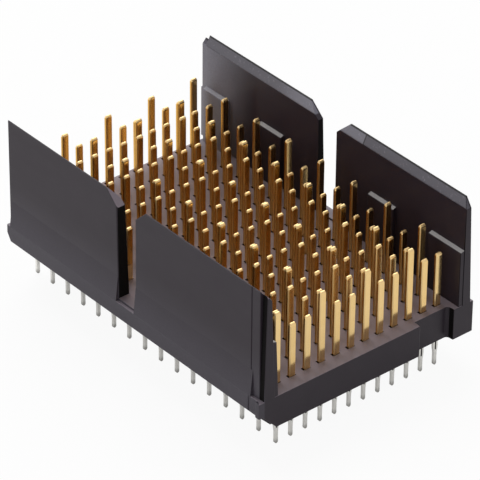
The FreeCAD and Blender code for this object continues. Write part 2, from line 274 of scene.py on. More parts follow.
@dataclass(frozen=True)
class PaintedLightAndMarks:
    """The housing's paler and darker marks: painted sheen on the far wall's bevel, at the left end of
    its inner face and low on the near wall, random scuffs, a thin dark line and painted shade along
    the far wall's top edge.

    A span says where a mark fades in along its axis, and a share says how strong it is.
    """

    # pale is the colour of the painted sheen and of the scuffs; dark is the colour of the thin line
    # and of the painted shade.
    pale: Triple = (0.245, 0.238, 0.285)
    dark: Triple = (0.004, 0.003, 0.004)
    far_wall: Span = (8.0 * MM, 8.2 * MM)
    bevel_foot: Span = (11.25 * MM, 11.35 * MM)
    bevel_top: Span = (9.50 * MM, 9.58 * MM)
    bevel_sheen_share: float = 0.33
    paler_run_start: Span = (-6.5 * MM, -3.0 * MM)
    paler_run_end: Span = (4.06 * MM, 4.14 * MM)
    paler_run_share: float = 0.44
    scuff_size: float = 0.22 * MM
    scuff_detail: float = 3.0
    scuff_cut: Span = (0.58, 0.70)
    scuff_share: float = 0.26
    end_sheen_along: Span = (-8.5 * MM, -15.4 * MM)
    end_sheen_inner: Span = (7.6 * MM, 8.2 * MM)
    end_sheen_outer: Span = (9.38 * MM, 9.48 * MM)
    end_sheen_foot: Span = (2.7 * MM, 2.8 * MM)
    end_sheen_share: float = 0.65
    end_sheen_grain: float = 0.50
    near_face: Span = (-10.1 * MM, -10.0 * MM)
    foot_rise: Span = (2.2 * MM, 7.5 * MM)
    foot_sheen_share: float = 0.10
    line_x: float = 4.10 * MM
    line_edge: Span = (0.03 * MM, 0.09 * MM)
    line_share: float = 0.6
    crest_shade: Span = (11.97 * MM, 12.03 * MM)
    crest_shade_share: float = 0.85

    def end_sheen(self, graph: Graph, place: Wire) -> Wire:
        """Return the painted sheen at the left end of the far wall's inner face.

        Args:
            graph: The graph of the finish.
            place: The X output of the node that splits up the place.

        Returns:
            The painted sheen, from 0 to 1.
        """
        depth = place.output("Y")
        inside = graph.ramp(depth, *self.end_sheen_inner) * (1 - graph.ramp(depth, *self.end_sheen_outer))
        above = graph.ramp(place.output("Z"), *self.end_sheen_foot)
        return graph.ramp(place, *self.end_sheen_along) * inside * above

    def over(self, graph: Graph, colour: Wire, grain: Wire) -> Wire:
        """Lay the painted sheen, the painted shade and the marks over a colour.

        Args:
            graph: The graph of the finish.
            colour: The plain colour.
            grain: The surface's fine noise.

        Returns:
            The marked colour.
        """
        where = graph.node("ShaderNodeTexCoord", output="Object")
        place = graph.node("ShaderNodeSeparateXYZ", inputs={0: where})
        depth, height = place.output("Y"), place.output("Z")
        far_wall = graph.ramp(depth, *self.far_wall)
        bevel = graph.ramp(height, *self.bevel_foot) * far_wall
        bevel = bevel * (1 - graph.ramp(depth, *self.bevel_top))
        # Paler still from X = -3 mm to 4.1 mm, fading in from -6.5 mm.
        paler_run = graph.ramp(place, *self.paler_run_start) * (1 - graph.ramp(place, *self.paler_run_end))
        scuffs = graph.noise(where, self.scuff_size, self.scuff_detail)
        scuffs = graph.ramp(scuffs, *self.scuff_cut) * self.scuff_share
        # Painted sheen: the whole bevel is made paler, more so along the paler run, with random
        # scuffs on top.
        wear_and_painted_light = bevel * (self.bevel_sheen_share + paler_run * self.paler_run_share + scuffs)
        # Painted sheen: a pale patch stands in for the glossy reflection at the left end of the far
        # wall's inner face.
        end_sheen = self.end_sheen(graph, place) * (1 - bevel) * (self.end_sheen_share + grain * self.end_sheen_grain)
        # Painted sheen: paler low on the near wall's outer face and on the base below it, fading out
        # upwards.
        foot = (1 - graph.ramp(height, *self.foot_rise)) * (1 - graph.ramp(depth, *self.near_face))
        pale = wear_and_painted_light + end_sheen + foot * self.foot_sheen_share * (1 + grain)
        gap = graph.maths("ABSOLUTE", place - self.line_x)
        line = bevel * (1 - graph.ramp(gap, *self.line_edge))
        line = line * (self.line_share + grain * (1 - self.line_share))
        # Painted shade: the far wall's top edge is darkened, against the highlight that its rounding
        # catches.
        crest_shade = graph.ramp(height, *self.crest_shade) * far_wall * self.crest_shade_share
        paler = graph.mix(pale, colour, self.pale)
        return graph.mix(graph.maths("MAXIMUM", line, crest_shade), paler, self.dark)


@dataclass(frozen=True)
class MouldedPlastic:
    """Charcoal moulding compound with a fine grain and cloudy flow marks, with the housing's painted
    sheen, painted shade and marks laid over it.
    """

    name: str = "charcoal_moulding"
    colour: Triple = (0.0220, 0.0155, 0.0225)
    cloud_colour: Triple = (0.0330, 0.0245, 0.0330)
    cloud_share: float = 0.6
    gloss: float = 1.31
    roughness: float = 0.36
    flow_roughness: float = 0.14
    grain_roughness: float = 0.10
    grain: float = 0.11 * MM
    cloud: float = 1.9 * MM
    flow: float = 0.665 * MM
    flow_stretch: Triple = (0.25, 1.0, 1.0)
    detail: float = 3.0
    bump: float = 0.5
    relief: float = 0.006 * MM
    marks: PaintedLightAndMarks = PaintedLightAndMarks()

    def material(self) -> bpy.types.Material:
        """Return the node material of this finish."""
        material, graph = new_material(self.name)
        where = graph.place()
        clouds = graph.noise(where, self.cloud, self.detail)
        grain = graph.noise(where, self.grain, self.detail)
        flow = graph.noise(graph.place(self.flow_stretch), self.flow)
        mottle = clouds * self.cloud_share + grain * (1 - self.cloud_share)
        colour = graph.mix(mottle, self.colour, self.cloud_colour)
        roughness = self.roughness + graph.swing(flow, self.flow_roughness)
        graph.surface(
            "ShaderNodeBsdfPrincipled",
            {
                "Base Color": self.marks.over(graph, colour, grain),
                "Roughness": roughness + graph.swing(grain, self.grain_roughness),
                "IOR": self.gloss,
                "Normal": graph.bump(grain, self.bump, self.relief),
            },
        )
        return material


@dataclass(frozen=True)
class LitTopPlastic(MouldedPlastic):
    """The same compound on what faces up, with painted light that makes it paler and greyer, and a
    duller gloss.
    """

    name: str = "sparked_moulding"
    colour: Triple = (0.1880, 0.1570, 0.1820)
    cloud_colour: Triple = (0.2520, 0.2120, 0.2420)
    roughness: float = 0.50
    relief: float = 0.009 * MM


@dataclass(frozen=True)
class LitRibTopPlastic(MouldedPlastic):
    """The same compound on the ribs' lead-ins, painted pale as a highlight."""

    name: str = "rubbed_moulding"
    colour: Triple = (0.3000, 0.2900, 0.2900)
    cloud_colour: Triple = (0.4400, 0.4300, 0.4300)
    roughness: float = 0.42


@dataclass(frozen=True)
class RecessShadePlastic:
    """The same compound painted near black as shade, coarse and matt, in the steps, the notch and the
    slot.
    """

    name: str = "dull_recess"
    colour: Triple = (0.0035, 0.0030, 0.0030)
    lift: float = 2.0
    roughness: float = 0.85
    roughness_spread: float = 0.1
    specular: float = 0.08
    grain: float = 0.07 * MM
    detail: float = 3.0
    bump: float = 0.6
    relief: float = 0.01 * MM

    def material(self) -> bpy.types.Material:
        """Return the node material of this finish."""
        material, graph = new_material(self.name)
        grain = graph.noise(graph.place(), self.grain, self.detail)
        lighter = tuple(self.lift * part for part in self.colour)
        graph.surface(
            "ShaderNodeBsdfPrincipled",
            {
                "Base Color": graph.mix(grain, self.colour, lighter),
                "Roughness": self.roughness + graph.swing(grain, self.roughness_spread),
                "Specular IOR Level": self.specular,
                "Normal": graph.bump(grain, self.bump, self.relief),
            },
        )
        return material


@dataclass(frozen=True)
class ContactPlating:
    """Stamped contact metal: pale gold on the blades and matt tin on the tails.

    The sheared mark is above zero on a blade's cut sides and in the eye's slot, where it makes them
    rougher and paints shade on them, and below zero on the tip and on the blade's broken edges.
    """

    name: str = "gold_and_tin_plating"
    gold: Triple = (0.91, 0.65, 0.30)
    shade_and_tone_gold: Triple = (0.74, 0.40, 0.060)
    tip_gold: Triple = (0.78, 0.56, 0.27)
    tin: Triple = (0.98, 0.96, 0.92)
    dull_tin: Triple = (0.80, 0.79, 0.75)
    painted_shade_tin: Triple = (0.10, 0.09, 0.08)
    plating_line: Span = (0.07 * MM, 0.17 * MM)
    tail_end_shade: Span = (-2.10 * MM, -2.65 * MM)
    tail_end_shade_share: float = 0.55
    streak: float = 0.05 * MM
    streak_stretch: Triple = (1.0, 1.0, 0.06)
    patch: float = 0.6 * MM
    patch_share: float = 0.6
    sheared_wear: float = 0.70
    tone_wear: float = 0.25
    patch_wear: float = 0.30
    streak_wear: float = 0.10
    gold_roughness: float = 0.13
    tone_roughness: float = 0.05
    sheared_roughness: float = 0.06
    streak_roughness: float = 0.06
    tip_roughness: float = 0.24
    tin_roughness: float = 0.40
    patch_roughness: float = 0.15
    bump: float = 0.22
    relief: float = 0.003 * MM

    def material(self) -> bpy.types.Material:
        """Return the node material of this finish."""
        material, graph = new_material(self.name)
        where = graph.node("ShaderNodeTexCoord", output="Object")
        height = graph.node("ShaderNodeSeparateXYZ", inputs={0: where}, output="Z")
        gilded = graph.ramp(height, *self.plating_line)
        tone = graph.attribute(PinMark.TONE)
        marked = graph.attribute(PinMark.SHEARED)
        sheared_and_shaded = graph.maths("MAXIMUM", marked, 0.0)
        tip = graph.maths("MAXIMUM", -1 * marked, 0.0)
        streaks = graph.noise(graph.place(self.streak_stretch), self.streak)
        patches = graph.noise(graph.place(), self.patch)
        # Painted shade: the narrow cut sides are darkened towards deep gold; the random tone, patches
        # and streaks vary it too.
        wear_and_painted_light = sheared_and_shaded * self.sheared_wear + tone * self.tone_wear
        wear_and_painted_light = wear_and_painted_light + graph.swing(patches, self.patch_wear) + graph.swing(streaks, self.streak_wear)
        blade = graph.mix(wear_and_painted_light, self.gold, self.shade_and_tone_gold)
        gold = graph.mix(tip, blade, self.tip_gold)
        mottle = patches * self.patch_share + streaks * (1 - self.patch_share)
        tin = graph.mix(mottle, self.tin, self.dull_tin)
        # Painted shade: the tin is darkened in the eye's slot and towards the tail's bottom end.
        end = graph.ramp(height, *self.tail_end_shade) * self.tail_end_shade_share
        tin = graph.mix(graph.maths("MAXIMUM", sheared_and_shaded, end), tin, self.painted_shade_tin)
        shine = self.gold_roughness + tone * self.tone_roughness + sheared_and_shaded * self.sheared_roughness
        shine = shine + graph.swing(streaks, self.streak_roughness) + tip * self.tip_roughness
        dull = self.tin_roughness + graph.swing(patches, self.patch_roughness)
        graph.surface(
            "ShaderNodeBsdfPrincipled",
            {
                "Base Color": graph.mix(gilded, tin, gold),
                "Metallic": 1.0,
                "Roughness": dull + (shine - dull) * gilded,
                "Normal": graph.bump((streaks + patches) / 2, self.bump, self.relief),
            },
        )
        return material


@dataclass(frozen=True)
class WhiteSweep:
    """Matt white studio surface that looks paper white and keeps a soft shadow."""

    name: str = "white_sweep"
    paper: Triple = (0.86, 0.86, 0.86)
    seen_glow: float = 0.93
    mirrored_glow: float = 0.35

    def material(self) -> bpy.types.Material:
        """Return the node material of this finish."""
        material, graph = new_material(self.name)
        path = graph.node("ShaderNodeLightPath", output="Is Camera Ray")
        mirrored = path.output("Is Glossy Ray") + path.output("Is Transmission Ray")
        share = path * self.seen_glow + mirrored * self.mirrored_glow
        paper = graph.node("ShaderNodeBsdfDiffuse", inputs={"Color": (*self.paper, 1.0)})
        glow = graph.node("ShaderNodeEmission", inputs={"Color": (1, 1, 1, 1), "Strength": 1.0})
        share = graph.maths("MINIMUM", share, 1.0)
        graph.surface("ShaderNodeMixShader", {0: share, 1: paper, 2: glow})
        return material


def seen_directly(graph: Graph) -> Wire:
    """Return 1 for rays from the camera, off gloss or through glass, and 0 for the rest."""
    path = graph.node("ShaderNodeLightPath", output="Is Camera Ray")
    total = path + path.output("Is Glossy Ray") + path.output("Is Transmission Ray")
    return graph.maths("MINIMUM", total, 1.0)


def add_piece(name: str, mesh: bpy.types.Mesh, finishes: Sequence[bpy.types.Material]) -> Any:
    """Put a finished mesh into the scene at the origin.

    Args:
        name: The piece's name.
        mesh: Its mesh, in metres in the CAD frame.
        finishes: The materials of its slots, in order.

    Returns:
        The new object.
    """
    if not mesh.materials:
        for finish in finishes:
            mesh.materials.append(finish)
    piece = bpy.data.objects.new(name, mesh)
    bpy.context.scene.collection.objects.link(piece)
    return piece


def blend(low: float, high: float, share: float) -> float:
    """Return the number that lies a share of the way from low to high."""
    return low * (1 - share) + high * share


@dataclass
class Housing:
    """The moulded housing: the CAD shape with its mould edges rounded.

    Lengths are in metres along the part's axes. The near wall is the one at -Y, and the
    rabbet, the notch and the plain step are at the +X end. An edge that is shorter than
    shortest_in_radii times the edge radius stays sharp.
    """

    node: str = "housing"
    weld: float = 0.001 * MM
    fine_weld: float = 0.0005 * MM
    tolerance: float = 0.01 * MM
    flat_angle: float = math.radians(0.5)
    sharp_angle: float = math.radians(24)
    edge_radius: float = 0.045 * MM
    edge_segments: int = 2
    shortest_in_radii: float = 3.0
    field_margin: float = 0.55 * MM
    rabbet_length: float = 0.50 * MM
    wall_foot: float = 2.75 * MM
    above_foot: float = 0.02 * MM
    near_wall_y: float = -10.15 * MM
    near_reach: float = 1.2 * MM
    slot_reach: float = 1.5 * MM
    slot_rise: float = 5.0 * MM
    slot_edge_radius: float = 0.13 * MM
    foot_depth: float = 0.24 * MM
    foot_rise: float = 2.20 * MM
    foot_sink: float = 0.03 * MM
    foot_inset: float = 0.20 * MM
    hole_gap: float = 0.02 * MM
    hole_reach: float = 0.20 * MM
    lead_in: float = 0.060 * MM
    row_shift: float = 0.2
    rib_tops: Span = (7.3 * MM, 7.8 * MM)
    notch_side: float = 7.0 * MM
    notch_end: float = 14.9 * MM
    notch_radius: float = 0.30 * MM
    notch_segments: int = 4
    facing_up: float = 0.85
    squarely: float = 0.9
    leaning: float = 0.5
    sloping: float = 0.3

    def field(self) -> Tuple[Vector, Vector]:
        """Return the lowest and highest corners of all the pins together."""
        low = Vector(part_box("signal_pins_01")[0])
        high = Vector(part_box("signal_pins_16")[1])
        low.y = min(low.y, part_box("ground_pins_16")[0][1])
        high.y = max(high.y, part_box("ground_pins_01")[1][1])
        return low, high

    def mesh(self, source: bpy.types.Object) -> bpy.types.Mesh:
        """Return a merged copy of the CAD mesh with rounded mould edges.

        Args:
            source: The CAD node's object, which isn't changed.

        Returns:
            The new mesh.
        """
        shape = bmesh.new()
        shape.from_mesh(source.data)
        bmesh.ops.remove_doubles(shape, verts=shape.verts, dist=self.weld)
        bmesh.ops.dissolve_limit(
            shape,
            angle_limit=self.flat_angle,
            use_dissolve_boundaries=False,
            verts=shape.verts,
            edges=shape.edges,
        )
        self.fit_notches(shape)
        feet = self.foot_spans(shape)
        self.round_off(shape, self.slot_edges(shape), self.slot_edge_radius, self.edge_segments)
        self.round_off(shape, self.notch_corner(shape), self.notch_radius, self.notch_segments)
        self.round_off(shape, self.mould_edges(shape), self.edge_radius, self.edge_segments)
        bmesh.ops.triangulate(
            shape,
            faces=[face for face in shape.faces if len(face.verts) > 4],
            ngon_method="EAR_CLIP",
        )
        bmesh.ops.remove_doubles(shape, verts=shape.verts, dist=self.fine_weld)
        self.mark_finishes(shape)
        for start, end in feet:
            self.add_foot_slope(shape, start + self.foot_sink, end - self.foot_sink)
        mesh = bpy.data.meshes.new("moulded_housing")
        shape.to_mesh(mesh)
        shape.free()
        return mesh

    @staticmethod
    def round_off(
        shape: bmesh.types.BMesh, edges: List[bmesh.types.BMEdge], radius: float, segments: int
    ) -> None:
        """Round the given edges.

        Args:
            shape: The housing's mesh.
            edges: The edges to round.
            radius: How far the rounding reaches on both sides of an edge.
            segments: The number of faces across it.
        """
        bmesh.ops.bevel(
            shape,
            geom=edges,
            offset=radius,
            offset_type="OFFSET",
            segments=segments,
            profile=0.5,
            affect="EDGES",
            clamp_overlap=False,
        )

    @staticmethod
    def find_edges(
        shape: bmesh.types.BMesh, convex: bool, rise: float, holds: Callable[[Vector], bool]
    ) -> List[bmesh.types.BMEdge]:
        """Find edges by their bend, their rise and their ends.

        Args:
            shape: The housing's mesh.
            convex: Whether the edge is an outer corner or an inner one.
            rise: The least difference of height between its ends.
            holds: A test that the places of both ends have to pass.

        Returns:
            The edges, in the mesh's order.
        """
        found = []
        for edge in shape.edges:
            first, second = (vert.co for vert in edge.verts)
            rises = abs(first.z - second.z) >= rise
            if edge.is_convex == convex and rises and holds(first) and holds(second):
                found.append(edge)
        return found

    def fit_notches(self, shape: bmesh.types.BMesh) -> None:
        """Draw the lead-in of each pin hole closer to its blade, as the mould leaves it.

        Args:
            shape: The housing's mesh, whose corners at the lead-ins are moved in Y.
        """
        reach = PinShape.blade_width / 2 + self.hole_gap
        field = ContactField()
        column_pitch, row_pitch = field.pitches()
        middle_row = (field.rows - 1) / 2
        for vert in shape.verts:
            row = round(vert.co.y / row_pitch + middle_row + self.row_shift)
            hole_side = (row - middle_row) * row_pitch - reach
            past = hole_side - vert.co.y
            column = vert.co.x / column_pitch + (field.columns - 1) / 2
            at_pin = abs(column - round(column)) * column_pitch < self.hole_reach
            in_field = 0 <= row < field.rows and 0 <= round(column) < field.columns
            if in_field and at_pin and 0 < past - self.hole_gap < self.hole_reach:
                vert.co.y = hole_side - self.lead_in

    def at_near_wall(self, place: Vector) -> bool:
        """Return whether a place is on the near wall's outer face."""
        return abs(place.y - self.near_wall_y) < self.tolerance

    def slot_edges(self, shape: bmesh.types.BMesh) -> List[bmesh.types.BMEdge]:
        """Return the upright outer corners of the near wall at its slot."""

        def at_slot(place: Vector) -> bool:
            """Return whether a place is on the near wall beside its slot."""
            return self.at_near_wall(place) and abs(place.x) < self.slot_reach

        return self.find_edges(shape, True, self.slot_rise, at_slot)

    def notch_corner(self, shape: bmesh.types.BMesh) -> List[bmesh.types.BMEdge]:
        """Return the upright inner corner of the end notch."""

        def at_corner(place: Vector) -> bool:
            """Return whether a place is in the base at the end notch."""
            in_base = place.z < self.wall_foot + self.tolerance
            return in_base and place.y > self.notch_side and place.x > self.notch_end

        return self.find_edges(shape, False, self.wall_foot - self.tolerance, at_corner)

    def foot_spans(self, shape: bmesh.types.BMesh) -> List[Span]:
        """Find where the near wall's foot runs in X, left and right of its slot.

        Args:
            shape: The housing's mesh, before any edge is rounded.

        Returns:
            The start and the end of each of the two stretches.
        """

        def at_foot(place: Vector) -> bool:
            """Return whether a place is on the near wall's foot line."""
            return self.at_near_wall(place) and abs(place.z - self.wall_foot) < self.tolerance

        foot_edges = self.find_edges(shape, False, 0.0, at_foot)
        foot = [vert.co.x for edge in foot_edges for vert in edge.verts]
        slot = [edge.verts[0].co.x for edge in self.slot_edges(shape)]
        return [
            (min(foot) + self.foot_inset, min(slot)),
            (max(slot), max(foot) - self.foot_inset - self.rabbet_length),
        ]

    def add_foot_slope(self, shape: bmesh.types.BMesh, start: float, end: float) -> None:
        """Add the steep slope that blends the near wall's foot into the base's narrow ledge.

        Args:
            shape: The housing's mesh, which gets the slope as a closed wedge.
            start: X of the wedge's left end.
            end: X of its right end.
        """
        wall = self.near_wall_y
        inner = wall + self.foot_sink
        outer = wall - self.foot_depth
        low = self.wall_foot - self.foot_sink
        top = self.wall_foot + self.foot_rise
        profile = ((inner, low), (outer, low), (outer, self.wall_foot), (wall, top), (inner, top))
        left, right = (
            [shape.verts.new((along, y, z)) for y, z in profile] for along in (start, end)
        )
        faces = [shape.faces.new(left), shape.faces.new(right[::-1])]
        for place in range(len(profile)):
            following = (place + 1) % len(profile)
            corners = (left[following], left[place], right[place], right[following])
            faces.append(shape.faces.new(corners))
        bmesh.ops.recalc_face_normals(shape, faces=faces)

    def mould_edges(self, shape: bmesh.types.BMesh) -> List[bmesh.types.BMEdge]:
        """Find the sharp outer edges of the moulding, without those of the pin holes.

        Args:
            shape: The housing's mesh.

        Returns:
            The edges that the mould leaves rounded.
        """
        low, high = self.field()
        margin = self.field_margin
        edges = []
        for edge in shape.edges:
            if len(edge.link_faces) != 2:
                continue
            if edge.calc_face_angle(0.0) < self.sharp_angle or not edge.is_convex:
                continue
            middle = (edge.verts[0].co + edge.verts[1].co) / 2
            in_field = low.y - margin < middle.y < high.y + margin
            if in_field and middle.x < high.x + margin:
                continue
            if edge.calc_length() < self.shortest_in_radii * self.edge_radius:
                continue
            edges.append(edge)
        return edges

    def is_inside(self, place: Vector) -> bool:
        """Return whether a place is on the floor, the slot's sill or the ribs' tops."""
        return place.y > self.near_wall_y - self.foot_depth and place.z < self.rib_tops[1]

    def mark_finishes(self, shape: bmesh.types.BMesh) -> None:
        """Set the finish of every face by where it is and which way it faces, painting light on faces
        that face up and shade in the steps, the notch and the slot.

        Args:
            shape: The housing's mesh, whose material indices are set.
        """
        low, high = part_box(self.node)
        for face in shape.faces:
            normal = face.normal
            middle = face.calc_center_median()
            at_end = middle.x > high[0] - self.rabbet_length
            near = middle.y < low[1] + self.near_reach
            on_wall = middle.z > self.wall_foot + self.above_foot
            in_step = normal.y < -self.squarely and near and at_end and on_wall
            in_notch = normal.y < -self.leaning and middle.y > self.notch_side and at_end
            in_slot = normal.x > self.squarely and abs(middle.x) < self.slot_reach and on_wall
            # The steps, the notch and the slot get painted shade.
            if in_step or in_notch or in_slot:
                skin = Skin.RECESS
            # Faces near the near wall that face right and up get painted light.
            elif near and min(normal.x, normal.z) > self.sloping:
                skin = Skin.SPARKED
            # Inner faces that face up get painted light, and the ribs' tops a paler painted
            # highlight.
            elif normal.z > self.facing_up and self.is_inside(middle):
                skin = Skin.RUBBED if middle.z > self.rib_tops[0] else Skin.SPARKED
            else:
                skin = Skin.MOULDED
            face.material_index = skin.value

    def build(self, frame: Dict[str, Any]) -> bpy.types.Object:
        """Make, dress and register the housing.

        Args:
            frame: The loaded CAD frame.

        Returns:
            The housing's object.
        """
        mesh = self.mesh(frame["nodes"][self.node])
        finishes = {
            Skin.MOULDED: MouldedPlastic(),
            Skin.SPARKED: LitTopPlastic(),
            Skin.RECESS: RecessShadePlastic(),
            Skin.RUBBED: LitRibTopPlastic(),
        }
        materials = [finishes[skin].material() for skin in Skin]
        piece = add_piece("moulded_housing", mesh, materials)
        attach(piece, "root")
        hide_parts(self.node)
        return piece


@dataclass(frozen=True)
class PinShape:
    """One stamped contact pin, standing at X = Y = 0 with the board seat at Z = 0.

    A step of the dome has its share of the blade's width, of its thickness and of the tip's
    height. Of the blade's eight sides every second one is a broken corner, and the cut sides
    are the two narrow ones that the shears left. The tip's mark starts at level tip_start. A
    swell says how far the tail has grown from the narrower to the wider width.
    """

    tip_z: float
    tail_z: float
    blade_width: float = 0.60 * MM
    blade_thickness: float = 0.30 * MM
    edge_break: float = 0.070 * MM
    foot_z: float = 0.40 * MM
    tip_height: float = 0.20 * MM
    tip_width: float = 0.44 * MM
    tip_thickness: float = 0.10 * MM
    tip_break: float = 0.8
    dome: Tuple[Triple, ...] = ((0.95, 0.90, 0.30), (0.86, 0.66, 0.72))
    cut_sides: Tuple[int, int] = (1, 5)
    cut_mark: float = 1.0
    tip_start: int = 2
    tip_mark: float = -1.0
    rim_mark: float = -0.7
    overlap: float = 0.12 * MM
    neck_width: float = 0.32 * MM
    neck_z: float = -0.15 * MM
    eye_width: float = 0.46 * MM
    eye_z: float = -0.88 * MM
    eye_end_z: float = -1.62 * MM
    eye_top_swell: float = 0.65
    slot_top_swell: float = 0.80
    slot_end_swell: float = 0.65
    eye_end_swell: float = 0.40
    slot_width: float = 0.14 * MM
    slot_length: float = 0.85 * MM
    end_width: float = 0.28 * MM
    end_round: Tuple[Span, ...] = ((1.0, 1.0), (0.4, 0.8), (0.0, 0.25))
    tail_thickness: float = 0.20 * MM
    weld: float = 0.0005 * MM

    def blade_rings(self) -> List[Tuple[float, float, float, float]]:
        """Return half width, half thickness, corner cut and height of each blade section."""
        wide = self.blade_width / 2
        thick = self.blade_thickness / 2
        shoulder = self.tip_z - self.tip_height
        rings = [(wide, thick, self.edge_break, z) for z in (self.foot_z, shoulder)]
        for across, through, up in self.dome:
            z = shoulder + up * self.tip_height
            rings.append((wide * across, thick * through, self.edge_break, z))
        cut = self.edge_break * self.tip_break
        rings.append((self.tip_width / 2, self.tip_thickness / 2, cut, self.tip_z))
        return rings

    def add_blade(self, shape: bmesh.types.BMesh, mark: Any) -> None:
        """Add the closed blade with cut corners and a domed tip.

        Args:
            shape: The pin's mesh.
            mark: Its layer of sheared marks, which also paint shade.
        """
        rings = []
        for wide, thick, cut, z in self.blade_rings():
            corners = [
                (thick, wide - cut), (thick - cut, wide), (cut - thick, wide), (-thick, wide - cut),
                (-thick, cut - wide), (cut - thick, -wide), (thick - cut, -wide), (thick, cut - wide),
            ]
            rings.append([shape.verts.new((x, y, z)) for x, y in corners])
        sides = len(rings[0])
        for level, (lower, upper) in enumerate(zip(rings, rings[1:])):
            for place in range(sides):
                following = (place + 1) % sides
                face = shape.faces.new(
                    (lower[place], lower[following], upper[following], upper[place])
                )
                if level >= self.tip_start:
                    face[mark] = self.tip_mark
                elif place % 2 == 0:
                    face[mark] = self.rim_mark
                elif place in self.cut_sides:
                    face[mark] = self.cut_mark
        shape.faces.new(rings[0][::-1])
        top = shape.faces.new(rings[-1])
        top[mark] = self.tip_mark

    def tail_rows(self) -> List[Triple]:
        """Return height, outer half width and slot half width down the tail."""
        slot = self.slot_width / 2
        top = self.eye_z + self.slot_length / 2
        bottom = self.eye_z - self.slot_length / 2
        neck = self.neck_width / 2
        eye = self.eye_width / 2
        end = self.end_width / 2
        rows = [
            (self.foot_z + self.overlap, neck, 0.0),
            (self.neck_z, neck, 0.0),
            (top, blend(neck, eye, self.eye_top_swell), 0.0),
            (top - slot, blend(neck, eye, self.slot_top_swell), slot),
            (self.eye_z, eye, slot),
            (bottom + slot, blend(end, eye, self.slot_end_swell), slot),
            (bottom, blend(end, eye, self.eye_end_swell), 0.0),
            (self.eye_end_z, end, 0.0),
        ]
        return rows + [(self.tail_z + up * end, end * across, 0.0) for up, across in self.end_round]

    def add_tail(self, shape: bmesh.types.BMesh, mark: Any) -> None:
        """Add the closed tail plate with its slotted spring eye.

        Args:
            shape: The pin's mesh.
            mark: Its layer of sheared marks, which the slot's sides get, and with it painted shade.
        """
        half = self.tail_thickness / 2
        rows = []
        for z, outer, inner in self.tail_rows():
            row = {}
            for x in (-half, half):
                for side in (-1, 1):
                    row[x, side, "out"] = shape.verts.new((x, side * outer, z))
                    row[x, side, "in"] = shape.verts.new((x, side * inner, z))
            rows.append((row, inner))
        for (upper, upper_slot), (lower, lower_slot) in zip(rows, rows[1:]):
            for side in (-1, 1):
                for x in (-half, half):
                    self.quad(shape, upper, lower, (x, side, "in"), (x, side, "out"))
                self.quad(shape, upper, lower, (-half, side, "out"), (half, side, "out"))
                if upper_slot + lower_slot > 0:
                    # The slot's sides get the mark that paints shade on them.
                    wall = self.quad(shape, upper, lower, (-half, side, "in"), (half, side, "in"))
                    wall[mark] = self.cut_mark
        corners = ((-half, "in"), (-half, "out"), (half, "out"), (half, "in"))
        for row, _ in (rows[0], rows[-1]):
            for side in (-1, 1):
                shape.faces.new([row[x, side, place] for x, place in corners])

    @staticmethod
    def quad(shape: bmesh.types.BMesh, upper: Dict, lower: Dict, first: Tuple, second: Tuple) -> Any:
        """Add the face between two rows of the tail and return it."""
        return shape.faces.new((upper[first], upper[second], lower[second], lower[first]))

    def master(self, name: str) -> bpy.types.Object:
        """Make the pin as an object of its own, which isn't part of the scene's pieces.

        Args:
            name: The object's name.

        Returns:
            The object, linked to the scene.
        """
        shape = bmesh.new()
        mark = shape.faces.layers.float.new(PinMark.SHEARED.value)
        self.add_blade(shape, mark)
        self.add_tail(shape, mark)
        bmesh.ops.remove_doubles(shape, verts=shape.verts, dist=self.weld)
        bmesh.ops.recalc_face_normals(shape, faces=shape.faces)
        mesh = bpy.data.meshes.new(name)
        shape.to_mesh(mesh)
        shape.free()
        pin = bpy.data.objects.new(name, mesh)
        bpy.context.scene.collection.objects.link(pin)
        return pin


